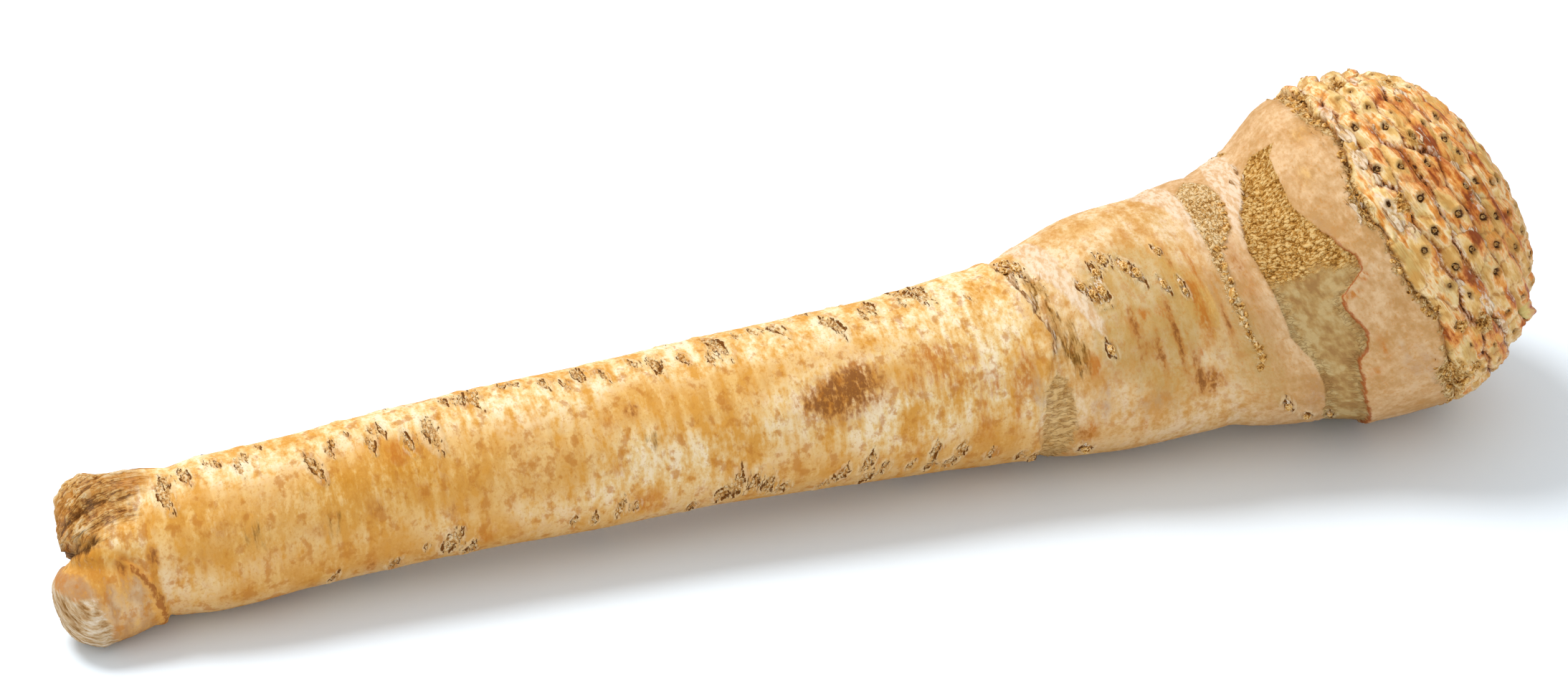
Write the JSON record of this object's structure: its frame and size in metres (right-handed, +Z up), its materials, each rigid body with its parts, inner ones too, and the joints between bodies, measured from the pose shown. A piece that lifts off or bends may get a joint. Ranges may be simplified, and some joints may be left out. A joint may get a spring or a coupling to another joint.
{
  "type": "horseradish root",
  "caption": "Whole horseradish root lying on a surface, with a forked tail, a long shank and a broad knobbly crown.",
  "frame": {"origin": "on the resting surface, under the centre of the root's bounding box", "axes": "+X along the root from the forked tail to the crown, +Y across it, +Z up from the surface it lies on"},
  "size_m": [0.2962, 0.0718, 0.0692],
  "materials": {
    "root_skin": "satin, waxy where smooth and corky where scarred",
    "cork_scar": "dry and rough",
    "leaf_scar_core": "dry and matte",
    "dry_skin": "papery and matte",
    "dry_fibre": "dry and matte",
    "crown_bud": "satin"
  },
  "bodies": {
    "root": {"horseradish_root": "root_skin"}
  },
  "joints": []
}
